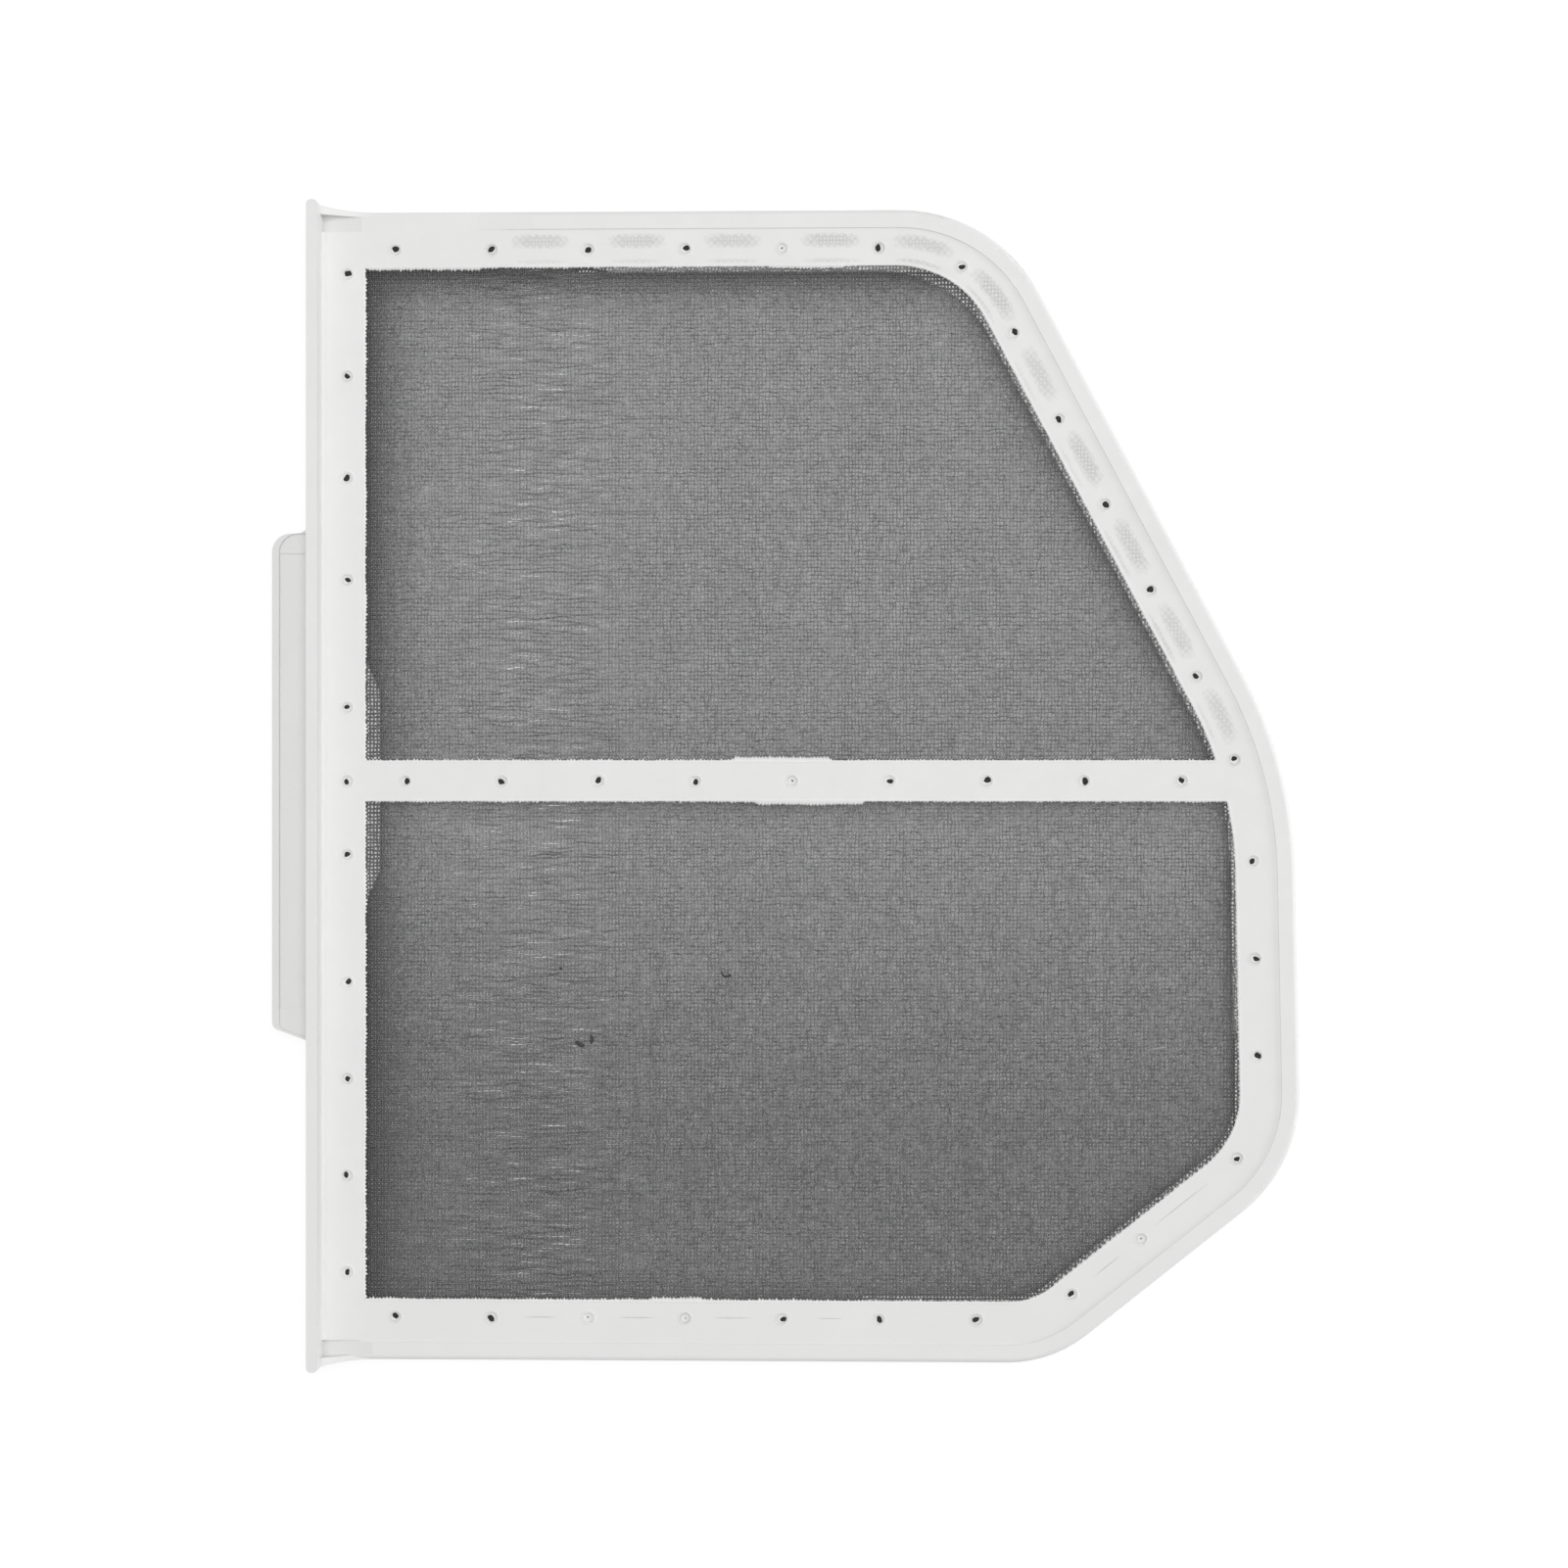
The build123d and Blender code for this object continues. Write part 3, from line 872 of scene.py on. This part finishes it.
# print-through: the cloth shows faintly in the thin skin between the pins of the far row
prints = {
    "firstPin": 1,
    "cell": 0.29,
    "fewestCells": 4,
    "top": (2.0, 4.2, 16.0),  # outwards of the pin line, width, length
    "slant": (0.9, 4.9, 16.6),
    "slantFrom": 0.85,  # how far the edge has turned where the slant's sizes hold
    "edge": (-3.1, 1.5, 17.0),  # fainter strip beside the window
    "strength": (0.75, 1.1),
    "edgeStrength": 0.6,
    "edgeSpread": (0.4, 1.1),
    "ragged": (0.12, 0.2),  # at the ends and at the sides
    "ease": (0.6, 0.7),
    "raggedTurns": 0.9,  # per mm
    "relief": 0.02,
    "sunk": 0.02,  # rim under the face
    "rise": 0.03,  # skin over the rim
    "riseEase": 5.0,
    "depth": 0.15,
    "shade": 0.11,
    "dots": 0.28,
}


def printMaterial():
    material = plasticMaterial("printedPlastic", **moulding)
    tree = material.node_tree
    skin = next(n for n in tree.nodes if n.type == "BSDF_PRINCIPLED")
    tone = skin.inputs["Base Color"].links[0].from_socket
    spot = addNode(tree, "ShaderNodeTexCoord", (-900, 400)).outputs["Object"]
    axes = addNode(tree, "ShaderNodeSeparateXYZ", (-700, 400), Vector=spot)
    waves = []
    for k, label in ((0, "pitchX"), (1, "pitchY")):
        row = 400 - 150 * k
        turn = mathNode(tree, "MULTIPLY", (-500, row), axes.outputs[k], math.pi / (weave[label] * mm))
        waves.append(mathNode(tree, "COSINE", (-350, row), turn))
    dots = mathNode(tree, "MULTIPLY", (-200, 400), *waves)
    half = prints["dots"] / 2
    depth = mathNode(tree, "MULTIPLY_ADD", (-50, 400), dots, half, prints["shade"] + half)
    fade = addNode(tree, "ShaderNodeAttribute", (-200, 600), attribute_name="fade").outputs["Fac"]
    faded = mathNode(tree, "MULTIPLY", (100, 400), depth, fade)
    keep = mathNode(tree, "SUBTRACT", (250, 400), 1.0, faded)
    feed(tree, skin.inputs["Base Color"], vectorNode(tree, "SCALE", (400, 300), tone, keep))
    return material


def printGrid(track, middle, out, wide, long, strength):  # rows of (place, fade) over one patch
    reach = round(long / 2 / prints["cell"])
    sides = max(prints["fewestCells"], round(wide / prints["cell"]))
    turns = prints["raggedTurns"]
    rows = []
    for k in range(-reach, reach + 1):
        p, n, s = track[(middle + k) % len(track)]
        row = []
        for j in range(sides + 1):
            v = 2.0 * j / sides - 1.0
            spot = p - n * (out + v * wide / 2)
            rough = noise.noise(Vector((spot.x * turns, spot.y * turns, 3.0)))
            fade = strength
            for u, ragged, ease in zip((k / reach, v), prints["ragged"], prints["ease"]):
                fade *= ramp(1.0 - abs(u) + ragged * rough, 0.0, ease)
            border = abs(k) == reach or j in (0, sides)
            row.append((spot, 0.0 if border else fade))
        rows.append(row)
    return rows


def gridShell(rows, points, fades, faces):  # top skin, floor and rim of one patch as a closed shell
    start, wide, long = len(points), len(rows[0]), len(rows)
    face = plate["face"]
    for under in (False, True):
        for row in rows:
            for spot, fade in row:
                dots = math.cos(math.pi * spot.x / weave["pitchX"])
                dots *= math.cos(math.pi * spot.y / weave["pitchY"])
                top = face - prints["sunk"] + prints["rise"] * min(1.0, fade * prints["riseEase"])
                top -= prints["relief"] * fade * dots
                points.append((spot.x, spot.y, face - prints["depth"] if under else top))
                fades.append(fade)
    below = wide * long

    def at(k, j):
        return start + k * wide + j

    for k in range(long - 1):
        for j in range(wide - 1):
            quad = (at(k, j), at(k, j + 1), at(k + 1, j + 1), at(k + 1, j))
            faces.append(quad)
            faces.append(tuple(below + v for v in reversed(quad)))
    rim = [at(0, j) for j in range(wide)] + [at(k, wide - 1) for k in range(1, long)]
    rim += [at(long - 1, j) for j in range(wide - 2, -1, -1)] + [at(k, 0) for k in range(long - 2, 0, -1)]
    for a, b in zip(rim, rim[1:] + rim[:1]):
        faces.append((a, below + a, below + b, b))


def nearest(track, place):
    return min(range(len(track)), key=lambda i: (track[i][0] - place).length)


def printPatches():
    track = evenPoints(roundedLoop([rail - pins["line"] for rail in plate["rails"]]), prints["cell"])
    points, fades, faces = [], [], []
    for k in range(prints["firstPin"], len(farPins) - 1):
        middle = round((nearest(track, farPins[k]) + nearest(track, farPins[k + 1])) / 2)
        turn = ramp(-track[middle][1].x, 0.0, prints["slantFrom"])
        patch = [a + (b - a) * turn for a, b in zip(prints["top"], prints["slant"])]
        strength = chance.uniform(*prints["strength"])
        edgeStrength = prints["edgeStrength"] * chance.uniform(*prints["edgeSpread"])
        gridShell(printGrid(track, middle, *patch, strength), points, fades, faces)
        gridShell(printGrid(track, middle, *prints["edge"], edgeStrength), points, fades, faces)
    mesh = newMesh("print_patches", points, faces=faces)
    setField(mesh, "fade", fades)
    return seat(newPiece("print_patches", finishMesh(mesh, printMaterial())))


printPatches()
print("cloth printed through the skin")

# slits: faint sunk lines on the pin line, their darker tone painted shade for the groove, and dark specks in
# the skin
slits = {
    "wide": 0.34,
    "tip": 0.06,  # share of the width at the ends
    "uneven": 0.25,
    "steps": 12,
    "edge": -0.004,  # heights over the face
    "crown": 0.012,
    "root": -0.1,
    "places": [  # middle, length, heading in degrees
        ((-61.8, -134.9), 9.5, 0),
        ((-37.2, -134.9), 10.0, 0),
        ((-12.6, -134.9), 10.5, 0),
        ((12.0, -134.9), 7.0, 0),
        ((100.6, -105.6), 18.0, 38.6),
        ((82.0, -121.2), 9.0, 38.6),
    ],
    # painted shade: the darker tone stands for the shade in the sunk line
    "plastic": {"tone": (0.60, 0.60, 0.595), "cloud": 0.2, "gloss": 0.5},
}
specks = {
    "count": 34,
    "size": (0.10, 0.24),
    "sunk": 0.01,
    "barReach": 100.0,  # along the crossbar, either way
    "barClear": 1.0,
    "railStep": 5.0,
    "railOut": (2.0, 8.0),  # outwards of the window
    "shape": {
        "profile": [(0, 0.02), (0.7, 0.015), (1.0, 0.0), (0.9, -0.1), (0, -0.1)],
        "sides": 9,
        "rough": 0.15,
        "roughScale": 1500.0,
    },
    "plastic": {"tone": (0.46, 0.46, 0.45), "cloud": 0.4, "gloss": 0.6},
}


def slitMesh():
    edge, crown, root = (plate["face"] + slits[level] for level in ("edge", "crown", "root"))
    steps = slits["steps"]
    tubes = []
    for (x, y), long, heading in slits["places"]:
        c, s = math.cos(math.radians(heading)), math.sin(math.radians(heading))
        rings = []
        for k in range(steps + 1):
            u = 2.0 * k / steps - 1.0
            half = slits["wide"] / 2 * max(slits["tip"], 1.0 - u * u)
            half *= 1.0 + slits["uneven"] * noise.noise(Vector((x + k, y, 1.0)))
            way = u * long / 2
            section = [(-half, root), (-half, edge), (0.0, crown), (half, edge), (half, root)]
            rings.append([(x + way * c - v * s, y + way * s + v * c, z) for v, z in section])
        tubes.append(rings)
    # the slits' darker plastic is painted shade for the sunk lines
    return finishMesh(tubeMesh("pin_slits", tubes, False), plasticMaterial("slitShade", **slits["plastic"]))


def speckPlaces():  # on the crossbar's face and here and there along the other rails
    found = []
    for k in range(specks["count"]):
        if k % 2:
            x = chance.uniform(-specks["barReach"], specks["barReach"])
            y = chance.uniform(plate["barLow"] + specks["barClear"], plate["barHigh"] - specks["barClear"])
        else:
            p, n, s = chance.choice(evenPoints(windowLoop(k % 4 == 0), specks["railStep"]))
            x, y = p - n * chance.uniform(*specks["railOut"])
        size = chance.uniform(*specks["size"])
        found.append((x, y, plate["face"] - specks["sunk"], chance.uniform(*anyTurn), size))
    return found


seat(newPiece("pin_slits", slitMesh()))
speckPlastic = plasticMaterial("speckShade", **specks["plastic"])
markPiece("skin_specks", speckPlaces(), speckPlastic, **specks["shape"])
print("slits and specks placed")

# snags: short stray fibres that lie on the cloth
snags = {
    "dark": [  # thickness, then the way it lies
        (0.95, [(-52.7, -64.8), (-52.0, -65.5), (-51.1, -65.9), (-50.5, -65.8)]),
        (0.85, [(-48.9, -63.3), (-48.6, -64.3), (-48.9, -65.6)]),
        (0.50, [(-15.8, -47.1), (-15.2, -48.1), (-14.2, -48.3), (-13.2, -47.9)]),
        (0.60, [(-57.0, -46.2), (-56.2, -46.4)]),
    ],
    "pale": [(0.36, [(92.0, -66.9), (94.4, -66.3), (97.0, -66.0)])],
    "steps": 4,  # between two stops
    "sides": 6,
    "tip": 0.35,  # least share of the thickness
    "tipTurn": 0.12,  # how far along its swell a fibre starts
    "lift": 0.12,  # over the cloth
    "arch": 0.12,
    "highest": 0.2,  # half height of a thick one
    "darkPlastic": {"tone": (0.045, 0.045, 0.045), "cloud": 0.5, "gloss": 0.6, "bumpDepth": 0.00003},
    "palePlastic": {"tone": (0.42, 0.42, 0.41), "cloud": 0.5, "gloss": 0.6, "bumpDepth": 0.00003},
}


def snagRing(spot, along, thick, height):
    ring = []
    for j in range(snags["sides"]):
        turn = 2 * math.pi * j / snags["sides"]
        side, up = thick * math.cos(turn), min(thick, snags["highest"]) * math.sin(turn)
        ring.append((spot.x - along.y * side, spot.y + along.x * side, height + up))
    return ring


def snagPiece(name, paths, material):
    tubes = []
    for width, path in paths:
        stops = [Vector(p) for p in path]
        count = snags["steps"] * (len(stops) - 1)
        rings = []
        for k in range(count + 1):
            t = k / snags["steps"]
            i = min(int(t), len(stops) - 2)
            before, after = stops[max(0, i - 1)], stops[min(len(stops) - 1, i + 2)]
            a, b, f = stops[i], stops[i + 1], t - i
            bend = 2 * before - 5 * a + 4 * b - after + f * (3 * (a - b) + after - before)
            spot = a + 0.5 * f * (b - before + f * bend)
            swell = math.sin(math.pi * (snags["tipTurn"] + (1.0 - 2 * snags["tipTurn"]) * k / count))
            thick = width / 2 * (snags["tip"] + (1.0 - snags["tip"]) * swell)
            height = plate["screenTop"] + snags["lift"] + snags["arch"] * math.sin(math.pi * k / count)
            rings.append(snagRing(spot, (b - a).normalized(), thick, height))
        tubes.append(rings)
    return seat(newPiece(name, finishMesh(tubeMesh(name, tubes, False), material)))


snagPiece("cloth_snags", snags["dark"], plasticMaterial("snagDark", **snags["darkPlastic"]))
snagPiece("cloth_fibre", snags["pale"], plasticMaterial("fibrePale", **snags["palePlastic"]))
print("stray fibres laid")

# floor, light and camera
studio = {
    "floorTone": 0.94,
    "floorCloud": {"Scale": 3.0, "Detail": 2.0},
    "floorSwing": 0.02,
    "floorRough": 0.9,
    "floorHalf": 9000.0,
    "floorDrop": 0.2,  # under the part
    "floorInset": 0.4,  # the floor under the part ends inside its outline
    "clear": 0.85,  # share of plain white in the open floor
    "white": 1.03,
    "world": 0.46,
    "lamps": {  # place in metres, size, power
        "softLow": ((3.0, 0.3, 0.6), 0.9, 36.0),
        "softTop": ((0.1, 0.5, 3.0), 1.8, 45.0),
    },
}
view = {  # mm and degrees
    "distance": 900.0,
    "width": 397.4,
    "aim": (0.2, 0.5, 5.6),
    "lean": 1.9,
    "sensor": 36.0,
}


def floorMaterial(name, clear):
    material, tree, skin = newMaterial(name)
    spot = addNode(tree, "ShaderNodeTexCoord", (-600, 0)).outputs["Object"]
    cloud = noiseNode(tree, (-400, 0), spot, **studio["floorCloud"])["Fac"]
    tone = mathNode(tree, "MULTIPLY_ADD", (-200, 0), cloud, studio["floorSwing"], studio["floorTone"])
    tree.links.new(tone, skin.inputs["Base Color"])
    skin.inputs["Roughness"].default_value = studio["floorRough"]
    skin.inputs["Specular IOR Level"].default_value = 0.0
    if clear:  # the open floor reads as white to the camera and keeps part of the shadow
        path = addNode(tree, "ShaderNodeLightPath", (100, 400)).outputs
        seen = mathNode(tree, "MAXIMUM", (250, 400), path["Is Camera Ray"], path["Is Glossy Ray"])
        seen = mathNode(tree, "MAXIMUM", (350, 400), seen, path["Is Transmission Ray"])
        white = addNode(tree, "ShaderNodeEmission", (600, 300), Strength=studio["white"])
        mix = addNode(tree, "ShaderNodeMixShader", (750, 100))
        tree.links.new(mathNode(tree, "MULTIPLY", (450, 400), seen, clear), mix.inputs[0])
        tree.links.new(skin.outputs[0], mix.inputs[1])
        tree.links.new(white.outputs[0], mix.inputs[2])
        output = next(n for n in tree.nodes if n.type == "OUTPUT_MATERIAL")
        tree.links.new(mix.outputs[0], output.inputs["Surface"])
    return material


def floorPart(name, outer, inner, material):  # a flat sheet, with a hole where another part lies
    sheet = bmesh.new()
    edges = []
    for loop in (outer, inner):
        corners = [sheet.verts.new((p[0] * mm, p[1] * mm, -studio["floorDrop"] * mm)) for p in loop]
        edges += [sheet.edges.new((a, b)) for a, b in zip(corners, corners[1:] + corners[:1])]
    bmesh.ops.triangle_fill(sheet, use_beauty=True, edges=edges, normal=(0, 0, 1))
    bmesh.ops.recalc_face_normals(sheet, faces=sheet.faces)
    if sheet.faces and sum(f.normal.z for f in sheet.faces) < 0:
        bmesh.ops.reverse_faces(sheet, faces=sheet.faces)
    mesh = bpy.data.meshes.new(name)
    sheet.to_mesh(mesh)
    sheet.free()
    mesh.materials.append(material)
    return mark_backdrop(newPiece(name, mesh))


half = studio["floorHalf"]
square = [(-half, -half), (half, -half), (half, half), (-half, half)]
around = roundedLoop([studio["floorInset"]] * len(plate["corners"]))
floorPart("floor", square, around, floorMaterial("paleFloor", studio["clear"]))
floorPart("floor_under", around, [], floorMaterial("paleFloorUnder", 0.0))

world = bpy.data.worlds.new("studio")
world.use_nodes = True
sky = world.node_tree.nodes["Background"].inputs
sky["Color"].default_value = (1, 1, 1, 1)
sky["Strength"].default_value = studio["world"]
scene.world = world

for name, (place, size, power) in studio["lamps"].items():
    lamp = bpy.data.lights.new(name, "AREA")
    lamp.shape = "SQUARE"
    lamp.size = size
    lamp.energy = power
    holder = newPiece(name, lamp)
    holder.location = place
    holder.rotation_euler = (-Vector(place)).to_track_quat("-Z", "Y").to_euler()

lens = bpy.data.cameras.new("camera")
lens.sensor_fit = "HORIZONTAL"
lens.sensor_width = view["sensor"]
lens.lens = view["sensor"] * view["distance"] / view["width"]
lens.clip_start = 0.01
tilt = math.radians(view["lean"])
eye = newPiece("camera", lens)
eye.location = (
    (view["aim"][0] + view["distance"] * math.sin(tilt)) * mm,
    view["aim"][1] * mm,
    (view["aim"][2] + view["distance"] * math.cos(tilt)) * mm,
)
eye.rotation_euler = (0, tilt, 0)
scene.camera = eye
scene.view_settings.view_transform = "Standard"
print("floor, light and camera set")
